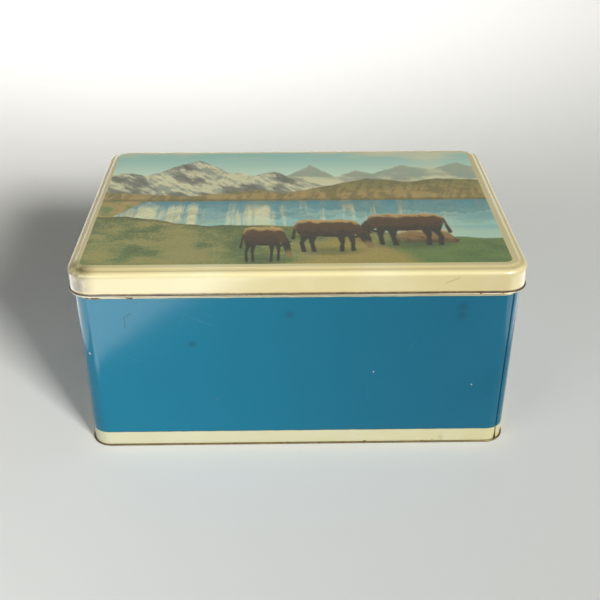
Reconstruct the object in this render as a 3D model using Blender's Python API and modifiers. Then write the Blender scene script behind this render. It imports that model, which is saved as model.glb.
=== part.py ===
"""Family biscuit tin: two hooked wall blanks, a folded-on base panel and a lift-off slip lid.

Metres, +Z up. The origin is on the floor under the middle of the tin, and the front faces -Y.

Each piece is one sheet of tinplate. It starts as a flat grid, which is bent round the tin by a
list of columns and up the tin by a profile, and Solidify then gives the sheet its thickness. A
level is a distance inwards from the outer face of the walls, so a negative level lies outside it.
"""

from math import cos, pi, radians, sin

import bmesh
import bpy

MM = 0.001

# Driving sizes
WALL_WIDTH = 290 * MM  # outside of the walls, left to right
WALL_DEPTH = 195 * MM  # outside of the walls, front to back
TIN_HEIGHT = 141.5 * MM  # floor to the lid's raised panel
LID_EDGE_HEIGHT = 123.6 * MM  # floor to the lower edge of the lid's hem
CORNER_RADIUS = 13 * MM  # outside of the walls
SHEET = 0.25 * MM  # tinplate
GAP = 0.3 * MM  # between sheets that touch on the real tin

# Lid, from the hem inwards
SKIRT_LEVEL = -2.6 * MM
HEM_RADIUS = 0.3 * MM  # inside of the small curl at the skirt's edge
CREASE_LEVEL = 0.7 * MM
CREASE_DROP = 1.2 * MM  # below the raised panel
PANEL_LEVEL = 4.2 * MM  # edge of the raised panel

# Walls
CURL_RADIUS = 1.2 * MM  # outside of the curl along the top edge
FLANGE_WIDTH = 0.5 * MM  # foot of the wall, turned outwards
SHEET_BEND = 0.15 * MM  # inside radius of a tight bend

# Base panel
BASE_RISE = 2 * MM  # floor to the underside of the raised centre
BASE_STEP_START = 7.5 * MM  # level where the raised centre ends
BASE_STEP_END = 5.5 * MM  # level where the ring that stands on the floor begins

# Upright seams, on the front right and back left corners, a little nearer the long sides
SEAM_ANGLE = 303  # plan angle of the front right seam
HOOK_LENGTH = 3 * MM
JOGGLE_LENGTH = 0.8 * MM  # where the inner sheet steps out to the walls' face
SEAM_END_MARGIN = 2 * MM  # the hooks stop this far short of the curl and of the base's folded edge
SEAM_CLEARANCE = 15  # degrees of plain corner kept free beside the seam line
SEAM_RADIUS = CORNER_RADIUS - 1 * MM  # turns a distance along the seam's layers into an angle

CORNER_STEPS = 9
CURL_STEPS = 6
BEND_STEPS = 2

# Sizes that follow from the driving ones
RIM_HEIGHT = TIN_HEIGHT - CREASE_DROP - SHEET - 1.2 * GAP  # the curl stops just under the crease
CURL_HEIGHT = RIM_HEIGHT - CURL_RADIUS
FLANGE_TOP = SHEET + GAP + SHEET
FOLD_RADIUS = SHEET_BEND + SHEET  # outside of a tight bend
FOLD_TOP = FLANGE_TOP + GAP + SHEET
BASE_EDGE_LEVEL = -(FLANGE_WIDTH + GAP + SHEET)
SEAM_FOOT = FOLD_TOP + SEAM_END_MARGIN
SEAM_HEAD = CURL_HEIGHT - SEAM_END_MARGIN
HOOK_PITCH = SHEET + GAP  # from one layer of the seam to the next
HOOK_INSIDE = (GAP + SHEET + GAP) / 2
HOOK_OUTSIDE = HOOK_INSIDE + SHEET


def new_collection(name):
    collection = bpy.data.collections.new(name)
    bpy.context.scene.collection.children.link(collection)
    return collection


def tinplate_paint(name, colour, roughness, metallic=0.0):
    material = bpy.data.materials.new(name)
    material.use_nodes = True
    shader = material.node_tree.nodes["Principled BSDF"]
    shader.inputs["Base Color"].default_value = (*colour, 1)
    shader.inputs["Roughness"].default_value = roughness
    shader.inputs["Metallic"].default_value = metallic
    return material


def arc(middle_level, middle_height, radius, start, end, steps):
    """Points (level, height) round a bend; 0 degrees points outwards and 90 degrees up."""
    turns = [radians(start + (end - start) * step / steps) for step in range(steps + 1)]
    return [(middle_level - radius * cos(turn), middle_height + radius * sin(turn)) for turn in turns]


def corner_middle(angle):
    """The middle of the corner arc that this plan angle (0 is +X, 90 is +Y) belongs to."""
    side = 1 if cos(radians(angle)) > 0 else -1
    end = 1 if sin(radians(angle)) > 0 else -1
    return side * (WALL_WIDTH / 2 - CORNER_RADIUS), end * (WALL_DEPTH / 2 - CORNER_RADIUS)


def column(corner, angle, level=0.0):
    """A line up the sheet: the corner arc that it is on, its plan angle and a level of its own."""
    return (*corner_middle(corner), radians(angle), level)


def corner_columns(first, last, corner):
    steps = round(CORNER_STEPS * (last - first) / 90)
    return [column(corner, first + (last - first) * step / steps) for step in range(steps + 1)]


def ring_columns():
    """Columns all the way round, with the first one again at the end."""
    ring = [line for start in range(0, 360, 90) for line in corner_columns(start, start + 90, start + 45)]
    return ring + ring[:1]


def seam_column(corner, distance, level):
    """A column of a seam's layers, at a distance past the seam line, anticlockwise from above."""
    return column(corner, corner + distance / SEAM_RADIUS * 180 / pi, level)


def outer_hook_columns(corner):
    """The walls' face runs to the seam line, turns under itself and runs back."""
    fold = arc(HOOK_OUTSIDE, -HOOK_OUTSIDE, HOOK_OUTSIDE, 0, 180, 2 * BEND_STEPS)
    turned = [seam_column(corner, distance, level) for level, distance in fold]
    return turned + [seam_column(corner, -HOOK_OUTSIDE - HOOK_LENGTH, 2 * HOOK_OUTSIDE)]


def inner_hook_columns(corner):
    """A hook inside the outer hook, then a run below it and a joggle out to the walls' face."""
    hook_level = HOOK_PITCH + SHEET
    under_level = 3 * HOOK_PITCH
    turn_middle = -HOOK_OUTSIDE - HOOK_LENGTH + HOOK_INSIDE - GAP
    fold = arc(hook_level + HOOK_INSIDE, turn_middle, HOOK_INSIDE, 0, -180, 2 * BEND_STEPS)
    turned = [seam_column(corner, distance, level) for level, distance in fold]
    hook_end = seam_column(corner, -HOOK_OUTSIDE, hook_level)
    joggle_start = seam_column(corner, 0.1 * MM, under_level)
    joggle_end = seam_column(corner, 0.1 * MM + JOGGLE_LENGTH, 0)
    return [hook_end, *turned, joggle_start, joggle_end]


def flat_blank(columns, rows, is_notch=lambda column_index, row_index: False):
    """A flat grid of unit cells, without the cells where is_notch(column, row) is true."""
    mesh = bmesh.new()
    bmesh.ops.create_grid(mesh, x_segments=columns, y_segments=rows, size=0.5)
    for point in mesh.verts:
        point.co = (point.co.x + 0.5) * columns, (point.co.y + 0.5) * rows, 0
    middles = {cell: cell.calc_center_median() for cell in mesh.faces}
    cut = [cell for cell, middle in middles.items() if is_notch(int(middle.x), int(middle.y))]
    bmesh.ops.delete(mesh, geom=cut, context="FACES")
    return mesh


def bend(mesh, columns, profile):
    """Bends a flat blank so that its columns stand round the tin and its rows follow the profile."""
    for point in mesh.verts:
        middle_x, middle_y, angle, own_level = columns[round(point.co.x)]
        level, height = profile[round(point.co.y)]
        reach = CORNER_RADIUS - own_level - level
        point.co = middle_x + reach * cos(angle), middle_y + reach * sin(angle), height


def close_ring(mesh, panel_height, facing):
    """Joins a blank's two ends and fills the edge that is at the panel's height."""
    bmesh.ops.remove_doubles(mesh, verts=mesh.verts, dist=0.001 * MM)
    ring = [
        edge
        for edge in mesh.edges
        if edge.is_boundary and all(abs(point.co.z - panel_height) < 0.001 * MM for point in edge.verts)
    ]
    panel = bmesh.ops.contextual_create(mesh, geom=ring)["faces"][0]
    panel.normal_update()
    if panel.normal.z * facing < 0:
        panel.normal_flip()


def sheet_data(name, mesh, origin_height=0.0):
    """Mesh data whose own origin is at a height above the floor."""
    for point in mesh.verts:
        point.co.z -= origin_height
    data = bpy.data.meshes.new(name)
    mesh.to_mesh(data)
    mesh.free()
    data.shade_smooth()
    data.set_sharp_from_angle(angle=radians(35))
    return data


def place_sheet(name, data, material, collection, parent, location=(0, 0, 0), turn=0.0):
    piece = bpy.data.objects.new(name, data)
    collection.objects.link(piece)
    piece.parent = parent
    piece.location = location
    piece.rotation_euler.z = turn
    if not data.materials:
        data.materials.append(material)
    thickness = piece.modifiers.new("tinplate", "SOLIDIFY")
    thickness.thickness = SHEET
    thickness.offset = -1
    thickness.use_even_offset = True
    return piece


def wall_data():
    """Half of the body: flange at the foot, curl at the top and a seam hook at either end."""
    foot = arc(-SHEET_BEND, FLANGE_TOP + SHEET_BEND, SHEET_BEND, -90, -180, BEND_STEPS)
    flange = [(-FLANGE_WIDTH, FLANGE_TOP), *foot]
    curl = arc(CURL_RADIUS, CURL_HEIGHT, CURL_RADIUS, 0, 270, CURL_STEPS)
    profile = [*flange, (0, SEAM_FOOT), (0, SEAM_HEAD), *curl]

    inner_hook = inner_hook_columns(SEAM_ANGLE - 180)
    outer_hook = outer_hook_columns(SEAM_ANGLE)
    columns = [
        *inner_hook,
        *corner_columns(SEAM_ANGLE - 180 + SEAM_CLEARANCE, 180, SEAM_ANGLE - 180),
        *corner_columns(180, 270, 225),
        *corner_columns(270, SEAM_ANGLE - SEAM_CLEARANCE, SEAM_ANGLE),
        *outer_hook,
    ]
    seam_row = len(flange)
    first_fold = len(columns) - len(outer_hook)

    def is_notch(column_index, row_index):
        in_hooks = column_index < len(inner_hook) - 1 or column_index >= first_fold
        return in_hooks and row_index != seam_row

    mesh = flat_blank(len(columns) - 1, len(profile) - 1, is_notch)
    bend(mesh, columns, profile)
    return sheet_data("wall_blank", mesh)


def base_data():
    """Raised centre, a ring that stands on the floor, and an edge folded round the walls' flange."""
    edge_middle = BASE_EDGE_LEVEL + FOLD_RADIUS
    profile = [
        (BASE_STEP_START, BASE_RISE),
        (BASE_STEP_END, 0),
        *arc(edge_middle, FOLD_RADIUS, FOLD_RADIUS, -90, 0, BEND_STEPS),
        *arc(edge_middle, FOLD_TOP - FOLD_RADIUS, FOLD_RADIUS, 0, 90, BEND_STEPS),
        (-GAP, FOLD_TOP),
    ]
    columns = ring_columns()
    mesh = flat_blank(len(columns) - 1, len(profile) - 1)
    bend(mesh, columns, profile)
    close_ring(mesh, BASE_RISE, facing=-1)
    return sheet_data("base_panel", mesh)


def lid_data():
    """Curled hem, skirt, rounded shoulder, crease and raised panel."""
    shoulder_radius = CREASE_LEVEL - SKIRT_LEVEL
    crease_height = TIN_HEIGHT - CREASE_DROP
    hem_middle = LID_EDGE_HEIGHT + HEM_RADIUS + SHEET
    profile = [
        *arc(SKIRT_LEVEL - HEM_RADIUS, hem_middle, HEM_RADIUS, 90, -180, CURL_STEPS),
        *arc(CREASE_LEVEL, crease_height - shoulder_radius, shoulder_radius, 0, 90, CURL_STEPS),
        (PANEL_LEVEL, TIN_HEIGHT),
    ]
    columns = ring_columns()
    mesh = flat_blank(len(columns) - 1, len(profile) - 1)
    bend(mesh, columns, profile)
    close_ring(mesh, TIN_HEIGHT, facing=1)
    return sheet_data("lid", mesh, origin_height=LID_EDGE_HEIGHT)


def build_tin():
    for leftover in list(bpy.data.objects):
        bpy.data.objects.remove(leftover, do_unlink=True)
    tin = new_collection("cookie_tin")
    body = bpy.data.objects.new("tin_body", None)
    tin.objects.link(body)

    blue_enamel = tinplate_paint("blue_enamel", (0.022, 0.16, 0.27), 0.32)
    cream_enamel = tinplate_paint("cream_enamel", (0.78, 0.69, 0.42), 0.34)
    gold_lacquer = tinplate_paint("gold_lacquer", (0.42, 0.34, 0.18), 0.38, 0.8)

    blank = wall_data()
    place_sheet("wall_front", blank, blue_enamel, tin, body)
    place_sheet("wall_back", blank, blue_enamel, tin, body, turn=pi)
    place_sheet("base_panel", base_data(), gold_lacquer, tin, body)
    place_sheet("lid", lid_data(), cream_enamel, tin, body, location=(0, 0, LID_EDGE_HEIGHT))


build_tin()
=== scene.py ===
"""Looks of the family biscuit tin: fine tinplate sheets, worn enamel and a printed lid.

Metres, +Z up, in the frame's own coordinates: the floor is z = 0 and the front faces -Y.

Each sheet is a flat grid bent round the tin by a list of columns and up the tin by a profile of
(level, height) points. A level is a distance inwards from the outer face of the walls.
"""

from functools import reduce
from math import cos, degrees, hypot, pi, radians, sin

import bmesh
import bpy
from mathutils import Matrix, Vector, noise


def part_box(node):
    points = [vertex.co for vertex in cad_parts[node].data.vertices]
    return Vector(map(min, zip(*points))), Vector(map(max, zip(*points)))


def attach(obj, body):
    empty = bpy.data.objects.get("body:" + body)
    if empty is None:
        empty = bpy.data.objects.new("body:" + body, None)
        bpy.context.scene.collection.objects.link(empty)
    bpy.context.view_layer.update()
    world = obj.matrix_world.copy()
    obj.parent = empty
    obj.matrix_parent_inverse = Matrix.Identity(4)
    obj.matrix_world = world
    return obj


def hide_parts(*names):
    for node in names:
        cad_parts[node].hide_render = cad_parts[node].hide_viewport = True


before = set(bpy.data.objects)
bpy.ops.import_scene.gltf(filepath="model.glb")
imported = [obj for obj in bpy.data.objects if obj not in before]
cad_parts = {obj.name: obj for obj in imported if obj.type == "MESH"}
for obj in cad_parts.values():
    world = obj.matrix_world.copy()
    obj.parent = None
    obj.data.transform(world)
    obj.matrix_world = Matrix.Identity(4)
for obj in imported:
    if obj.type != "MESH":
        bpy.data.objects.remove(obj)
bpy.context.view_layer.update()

MM = 0.001

# Sheet metal, as in the frame
CORNER_RADIUS = 13 * MM
SHEET = 0.25 * MM
GAP = 0.3 * MM
FOLDED_EDGE = 1.05 * MM  # the base's folded edge stands out from the walls by this much
CURL_RADIUS = 1.2 * MM
FLANGE_WIDTH = 0.5 * MM
TIGHT_BEND = 0.15 * MM
SKIRT_LEVEL = -2.6 * MM
HEM_RADIUS = 0.3 * MM
CREASE_LEVEL = 0.7 * MM
CREASE_DROP = 1.2 * MM
PANEL_LEVEL = 4.2 * MM
BASE_RISE = 2 * MM
BASE_STEP_START = 7.5 * MM
BASE_STEP_END = 5.5 * MM
SEAM_ANGLE = 303  # plan angle of the front right seam
HOOK_LENGTH = 3 * MM
JOGGLE_LENGTH = 0.8 * MM
SEAM_END_MARGIN = 2 * MM
SEAM_CLEARANCE = 15
SEAM_RADIUS = CORNER_RADIUS - 1 * MM

# Sizes that the frame gives
BASE_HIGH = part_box("base_panel")[1]
HALF_WIDTH = BASE_HIGH.x - FOLDED_EDGE
HALF_DEPTH = BASE_HIGH.y - FOLDED_EDGE
STRAIGHT_X = HALF_WIDTH - CORNER_RADIUS  # half the straight part of a side
STRAIGHT_Y = HALF_DEPTH - CORNER_RADIUS
LID_FOOT, LID_TOP = (corner.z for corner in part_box("lid"))
RIM_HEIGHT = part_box("wall_front")[1].z
FLANGE_TOP = 2 * SHEET + GAP
FOLD_RADIUS = TIGHT_BEND + SHEET
FOLD_TOP = FLANGE_TOP + GAP + SHEET
SEAM_FOOT = FOLD_TOP + SEAM_END_MARGIN
SEAM_HEAD = RIM_HEIGHT - CURL_RADIUS - SEAM_END_MARGIN
HOOK_PITCH = SHEET + GAP
HOOK_INSIDE = GAP + SHEET / 2
HOOK_OUTSIDE = HOOK_INSIDE + SHEET

# Fineness of the sheets
CORNER_STEPS = 16
SIDE_CELL = 5.5 * MM
EXTRA_ROW = 10 * MM  # level of a row of cells between an edge and the middle of a flat panel
CURL_STEPS = 14
BEND_STEPS = 5

# Paint and print
TOP_BAND = RIM_HEIGHT - 18.9 * MM  # blue ends here, under the lid's edge
FOOT_BAND = 11.6 * MM
PRINT_LEVEL = 6.7 * MM
PRINT_SHIFT = Vector((-0.9 * MM, 0.45 * MM, 0))  # the picture was printed a little off the middle
PRINT_RADIUS = 4.8 * MM
PRINT_THICKNESS = 0.04 * MM
PRINT_EDGE = 0.1 * MM  # a narrow ring that keeps the smooth shading of the film's edge at the edge
PRINT_CLEARANCE = 0.02 * MM
PANEL_DROP = 0.08 * MM  # the printed film lies in this depth below the lid's top

# Dents: depth, wavelength and the noise's seed
PANEL_DENTS = ((0.30 * MM, 95 * MM, 3.1), (0.10 * MM, 28 * MM, 8.7))
PANEL_BORDER = 40 * MM  # the dents reach their full depth this far inside the panel
WALL_HOLLOW = 0.35 * MM  # the walls are pressed in by this much between their dents
WALL_DENTS = ((0.35 * MM, 60 * MM, 0), (0.10 * MM, 22 * MM, 5))  # seeds counted from the wall's
WALL_BORDER = 60 * MM  # full depth this far from a corner
WALL_RISE = 40 * MM  # and this far from the strips at the foot and the rim that have none
FOOT_STRIP = 8 * MM
RIM_STRIP = 6 * MM


# ---------------- sheets


def arc(middle_level, middle_height, radius, start, end, steps):
    """Points (level, height) round a bend; 0 degrees points outwards and 90 degrees up."""
    turns = [radians(start + (end - start) * step / steps) for step in range(steps + 1)]
    return [(middle_level - radius * cos(turn), middle_height + radius * sin(turn)) for turn in turns]


def rise(start, end, steps):
    """Points between two (level, height) points along an S-curve, with both ends left out."""
    shares = [step / steps for step in range(1, steps)]
    return [
        (start[0] + (end[0] - start[0]) * t, start[1] + (end[1] - start[1]) * t * t * (3 - 2 * t))
        for t in shares
    ]


def straight(start, end, steps):
    """Points between two (level, height) points, with both ends left out."""
    shares = [step / steps for step in range(1, steps)]
    return [tuple(a + (b - a) * t for a, b in zip(start, end)) for t in shares]


def column(corner, angle, own_level=0.0, radius=CORNER_RADIUS, inset=0.0):
    """A plan point on a corner arc, its outward direction and a level of its own."""
    side = 1 if cos(radians(corner)) > 0 else -1
    end = 1 if sin(radians(corner)) > 0 else -1
    middle = Vector((side * (HALF_WIDTH - inset - radius), end * (HALF_DEPTH - inset - radius)))
    outward = Vector((cos(radians(angle)), sin(radians(angle))))
    return middle + radius * outward, outward, own_level


def corner_run(first, last, corner, **sizes):
    steps = round(CORNER_STEPS * (last - first) / 90)
    return [column(corner, first + (last - first) * step / steps, **sizes) for step in range(steps + 1)]


def side_run(start, end):
    """Columns along the straight between two columns that face the same way, ends left out."""
    cells = round((end[0] - start[0]).length / SIDE_CELL)
    return [(start[0].lerp(end[0], cell / cells), start[1], 0.0) for cell in range(1, cells)]


def joined(*runs):
    """Corner runs with the straight sides between them filled in."""
    columns = list(runs[0])
    for run in runs[1:]:
        columns += side_run(columns[-1], run[0]) + run
    return columns


def ring_columns(**sizes):
    """Columns all the way round, with the first one again at the end."""
    runs = [corner_run(start, start + 90, start + 45, **sizes) for start in range(0, 360, 90)]
    return joined(*runs, runs[0][:1])


def seam_column(corner, distance, level):
    """A column of a seam's layers, at a distance past the seam line, anticlockwise from above."""
    return column(corner, corner + degrees(distance / SEAM_RADIUS), level)


def outer_hook(corner):
    fold = arc(HOOK_OUTSIDE, -HOOK_OUTSIDE, HOOK_OUTSIDE, 0, 180, 2 * BEND_STEPS)
    turned = [seam_column(corner, distance, level) for level, distance in fold]
    return turned + [seam_column(corner, -HOOK_OUTSIDE - HOOK_LENGTH, 2 * HOOK_OUTSIDE)]


def inner_hook(corner):
    hook_level = HOOK_PITCH + SHEET
    under_level = 3 * HOOK_PITCH
    turn_middle = -HOOK_OUTSIDE - HOOK_LENGTH + HOOK_INSIDE - GAP
    fold = arc(hook_level + HOOK_INSIDE, turn_middle, HOOK_INSIDE, 0, -180, 2 * BEND_STEPS)
    turned = [seam_column(corner, distance, level) for level, distance in fold]
    joggle = rise((0.1 * MM, under_level), (0.1 * MM + JOGGLE_LENGTH, 0), 5)
    joggle = [(0.1 * MM, under_level), *joggle, (0.1 * MM + JOGGLE_LENGTH, 0)]
    return [
        seam_column(corner, -HOOK_OUTSIDE, hook_level),
        *turned,
        *[seam_column(corner, distance, level) for distance, level in joggle],
    ]


def flat_blank(columns, rows, is_notch):
    """A flat grid of unit cells, without the cells where is_notch(column, row) is true."""
    mesh = bmesh.new()
    bmesh.ops.create_grid(mesh, x_segments=columns, y_segments=rows, size=0.5)
    for point in mesh.verts:
        point.co = (point.co.x + 0.5) * columns, (point.co.y + 0.5) * rows, 0
    middles = {cell: cell.calc_center_median() for cell in mesh.faces}
    cut = [cell for cell, middle in middles.items() if is_notch(int(middle.x), int(middle.y))]
    bmesh.ops.delete(mesh, geom=cut, context="FACES")
    return mesh


def uncut(column_index, row_index):
    return False


def bent_sheet(columns, profile, wear=lambda level, height: 0.0, is_notch=uncut):
    """Bends a flat blank round the tin. wear(level, height) is stored for the materials."""
    mesh = flat_blank(len(columns) - 1, len(profile) - 1, is_notch)
    worn = mesh.verts.layers.float.new("wear")
    for point in mesh.verts:
        place, outward, own_level = columns[round(point.co.x)]
        level, height = profile[round(point.co.y)]
        spot = place - outward * (own_level + level)
        point.co = spot.x, spot.y, height
        point[worn] = wear(level, height)
    return mesh


def fill_middle(mesh, height, inset, facing):
    """Joins a ring's ends and fills the plain rectangle inside it with square cells."""
    bmesh.ops.remove_doubles(mesh, verts=mesh.verts, dist=0.001 * MM)
    half_x, half_y = HALF_WIDTH - inset, HALF_DEPTH - inset
    cells = [round(2 * half / SIDE_CELL) for half in (half_x, half_y)]
    known = set(mesh.faces)
    bmesh.ops.create_grid(mesh, x_segments=cells[0], y_segments=cells[1], size=1)
    middle = [face for face in mesh.faces if face not in known]
    for point in {point for face in middle for point in face.verts}:
        point.co = point.co.x * half_x, point.co.y * half_y, height
    if facing < 0:
        bmesh.ops.reverse_faces(mesh, faces=middle)
    bmesh.ops.remove_doubles(mesh, verts=mesh.verts, dist=0.01 * MM)


def add_object(name, data):
    added = bpy.data.objects.new(name, data)
    bpy.context.scene.collection.objects.link(added)
    return added


def add_mesh(name, mesh, materials):
    data = bpy.data.meshes.new(name)
    mesh.to_mesh(data)
    mesh.free()
    data.shade_smooth()
    for material in materials:
        data.materials.append(material)
    return add_object(name, data)


def add_piece(name, mesh, body, materials, replaced=(), thickness=SHEET):
    """The first material is on the outside, the last one on the inside and the cut edges."""
    piece = add_mesh(name, mesh, materials)
    solid = piece.modifiers.new("tinplate", "SOLIDIFY")
    solid.thickness = thickness
    solid.offset = -1
    solid.use_even_offset = True
    solid.material_offset = len(materials) - 1
    solid.material_offset_rim = len(materials) - 1
    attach(piece, body)
    if replaced:
        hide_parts(*replaced)
    return piece


# ---------------- dents


def ripple(x, y, z, wavelength, seed):
    """Smooth noise from 0 to 1."""
    return 0.5 + 0.5 * noise.noise(Vector((x, y, z)) / wavelength + Vector((seed, -seed, seed)))


def limited(share):
    return min(max(share, 0), 1)


def eased(share):
    """A share from 0 to 1 that starts and ends smoothly."""
    return share * share * (3 - 2 * share)


def ripples(x, y, z, dents, seed=0):
    return sum(depth * ripple(x, y, z, wave, seed + own_seed) for depth, wave, own_seed in dents)


def panel_dent(x, y):
    """How far the lid's panel lies below flat."""
    room = min(STRAIGHT_X - abs(x), STRAIGHT_Y - abs(y))
    return ripples(x, y, 0, PANEL_DENTS) * eased(limited(room / PANEL_BORDER))


def dent_panel(mesh, above):
    for point in mesh.verts:
        if point.co.z > above:
            point.co.z -= panel_dent(point.co.x, point.co.y)


def wall_dent(x, y, z, seed):
    """How far the walls are pressed in at a height, before they fade out towards the corners."""
    up = limited((z - FOOT_STRIP) / WALL_RISE) * limited((RIM_HEIGHT - RIM_STRIP - z) / WALL_RISE)
    return (WALL_HOLLOW + ripples(x, y, z, WALL_DENTS, seed)) * up


def dent_walls(mesh, seed):
    """Presses the flat sides in a little, less towards the corners, the rim and the foot."""
    for point in mesh.verts:
        x, y, z = point.co
        depth = wall_dent(x, y, z, seed)
        room_x, room_y = STRAIGHT_X - abs(x), STRAIGHT_Y - abs(y)
        if room_x > 0:
            point.co.y -= depth * eased(limited(room_x / WALL_BORDER)) * (1 if y > 0 else -1)
        elif room_y > 0:
            point.co.x -= depth * eased(limited(room_y / WALL_BORDER)) * (1 if x > 0 else -1)


# ---------------- pieces


def wall_mesh(seed, half_turn=False):
    """Half of the body, round the front from the back left seam to the front right seam."""
    start = SEAM_ANGLE - 180
    foot = arc(-TIGHT_BEND, FLANGE_TOP + TIGHT_BEND, TIGHT_BEND, -90, -180, BEND_STEPS)
    curl = arc(CURL_RADIUS, RIM_HEIGHT - CURL_RADIUS, CURL_RADIUS, 0, 270, CURL_STEPS)
    rows = round((SEAM_HEAD - SEAM_FOOT) / SIDE_CELL)
    side = [(0, SEAM_FOOT), *straight((0, SEAM_FOOT), (0, SEAM_HEAD), rows), (0, SEAM_HEAD)]
    flange = [(-FLANGE_WIDTH, FLANGE_TOP), *foot]
    profile = [*flange, *side, *curl]

    hook_in, hook_out = inner_hook(start), outer_hook(SEAM_ANGLE)
    columns = [
        *hook_in,
        *joined(
            corner_run(start + SEAM_CLEARANCE, 180, start),
            corner_run(180, 270, 225),
            corner_run(270, SEAM_ANGLE - SEAM_CLEARANCE, SEAM_ANGLE),
        ),
        *hook_out,
    ]
    first_fold = len(columns) - len(hook_out)
    seam_rows = range(len(flange), len(flange) + rows)

    def is_notch(column_index, row_index):
        in_hooks = column_index < len(hook_in) - 1 or column_index >= first_fold
        return in_hooks and row_index not in seam_rows

    def wear(level, height):
        return 1.0 if height > RIM_HEIGHT - 2 * CURL_RADIUS or height < FOLD_TOP else 0.0

    mesh = bent_sheet(columns, profile, wear, is_notch)
    if half_turn:
        for point in mesh.verts:
            point.co.xy = -point.co.xy
    dent_walls(mesh, seed)
    return mesh


def base_mesh():
    """Raised centre, the ring that the tin stands on and the edge folded round the walls."""
    edge_middle = -FOLDED_EDGE + FOLD_RADIUS
    step_start, step_end = (BASE_STEP_START, BASE_RISE), (BASE_STEP_END, 0)
    profile = [
        (CORNER_RADIUS, BASE_RISE),
        (EXTRA_ROW, BASE_RISE),
        step_start,
        *rise(step_start, step_end, 8),
        step_end,
        (BASE_STEP_END - 3 * MM, 0),
        *arc(edge_middle, FOLD_RADIUS, FOLD_RADIUS, -90, 0, BEND_STEPS),
        *arc(edge_middle, FOLD_TOP - FOLD_RADIUS, FOLD_RADIUS, 0, 90, BEND_STEPS),
        (-GAP, FOLD_TOP),
    ]

    def wear(level, height):
        return 1.0 if level < 2 * MM else 0.0

    mesh = bent_sheet(ring_columns(), profile, wear)
    fill_middle(mesh, BASE_RISE, CORNER_RADIUS, facing=-1)
    return mesh


def lid_mesh():
    """Curled hem, skirt, rounded shoulder, crease and raised panel."""
    shoulder = CREASE_LEVEL - SKIRT_LEVEL
    crease = (CREASE_LEVEL, LID_TOP - CREASE_DROP)
    panel_height = LID_TOP - PANEL_DROP
    panel_edge = (PANEL_LEVEL, panel_height)
    hem_height = LID_FOOT + HEM_RADIUS + SHEET
    hem = arc(SKIRT_LEVEL - HEM_RADIUS, hem_height, HEM_RADIUS, 90, -180, CURL_STEPS)
    shoulder_start = (SKIRT_LEVEL, LID_TOP - CREASE_DROP - shoulder)
    profile = [
        *hem,
        *straight(hem[-1], shoulder_start, 6),
        *arc(CREASE_LEVEL, crease[1] - shoulder, shoulder, 0, 90, CURL_STEPS),
        *rise(crease, panel_edge, 8),
        panel_edge,
        (PANEL_LEVEL + 1 * MM, panel_height),
        (PRINT_LEVEL, panel_height),
        (EXTRA_ROW, panel_height),
        (CORNER_RADIUS, panel_height),
    ]

    # 1 on the hem, where the metal wears; round the crease, a ramp that places the painted shade in the
    # crease and a little rust inside
    def wear(level, height):
        if height < LID_FOOT + 2 * (HEM_RADIUS + SHEET):
            return 1.0
        if level < CREASE_LEVEL - 1.1 * MM:
            return 0.0
        return max(0.0, 0.6 - abs(level - CREASE_LEVEL - 1 * MM) / (3.6 * MM))

    mesh = bent_sheet(ring_columns(), profile, wear)
    fill_middle(mesh, panel_height, CORNER_RADIUS, facing=1)
    dent_panel(mesh, above=LID_TOP - CREASE_DROP / 2)
    return mesh


def print_mesh():
    """The printed picture, a thin film that lies on the lid's panel."""
    height = LID_TOP - PANEL_DROP + PRINT_CLEARANCE + PRINT_THICKNESS
    inset = PRINT_LEVEL + PRINT_RADIUS
    columns = ring_columns(radius=PRINT_RADIUS, inset=PRINT_LEVEL)
    levels = (0, PRINT_EDGE, PRINT_RADIUS / 2, PRINT_RADIUS)
    mesh = bent_sheet(columns, [(level, height) for level in levels])
    fill_middle(mesh, height, inset, facing=1)
    bmesh.ops.translate(mesh, verts=mesh.verts, vec=PRINT_SHIFT)
    dent_panel(mesh, above=0)
    return mesh


# ---------------- materials as expressions


class Term:
    """A value in a node tree. Arithmetic on it adds the matching Math nodes."""

    def __init__(self, tree, socket):
        self.tree = tree
        self.socket = socket

    def math(self, operation, *others):
        node = self.tree.nodes.new("ShaderNodeMath")
        node.operation = operation
        for place, value in enumerate((self, *others)):
            feed(self.tree, node.inputs[place], value)
        return Term(self.tree, node.outputs[0])

    def __add__(self, other):
        return self.math("ADD", other)

    def __sub__(self, other):
        return self.math("SUBTRACT", other)

    def __mul__(self, other):
        return self.math("MULTIPLY", other)

    def __neg__(self):
        return self.math("MULTIPLY", -1)

    def __rsub__(self, other):
        return (-self).math("ADD", other)

    __radd__ = __add__
    __rmul__ = __mul__

    def most(self, other):
        return self.math("MAXIMUM", other)

    def least(self, other):
        return self.math("MINIMUM", other)

    def size(self):
        return self.math("ABSOLUTE")

    def step(self, low, high):
        """0 below low and 1 above high, smooth in between; low may be the higher one."""
        node = self.tree.nodes.new("ShaderNodeMapRange")
        node.interpolation_type = "SMOOTHSTEP"
        feed(self.tree, node.inputs["Value"], self)
        if low > high:
            low, high = high, low
            node.inputs["To Min"].default_value = 1
            node.inputs["To Max"].default_value = 0
        node.inputs["From Min"].default_value = low
        node.inputs["From Max"].default_value = high
        return Term(self.tree, node.outputs["Result"])


def feed(tree, socket, value):
    if isinstance(value, Term):
        tree.links.new(value.socket, socket)
    elif isinstance(value, tuple) and socket.type == "RGBA" and len(value) == 3:
        socket.default_value = (*value, 1)
    else:
        socket.default_value = value


def vector_math(operation, first, second=None):
    node = first.tree.nodes.new("ShaderNodeVectorMath")
    node.operation = operation
    feed(first.tree, node.inputs[0], first)
    if second is not None:
        feed(first.tree, node.inputs[1], second)
    return Term(first.tree, node.outputs["Value" if operation == "LENGTH" else "Vector"])


def join(x, y, z=0.0):
    tree = next(part.tree for part in (x, y, z) if isinstance(part, Term))
    node = tree.nodes.new("ShaderNodeCombineXYZ")
    for place, value in enumerate((x, y, z)):
        feed(tree, node.inputs[place], value)
    return Term(tree, node.outputs[0])


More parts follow.
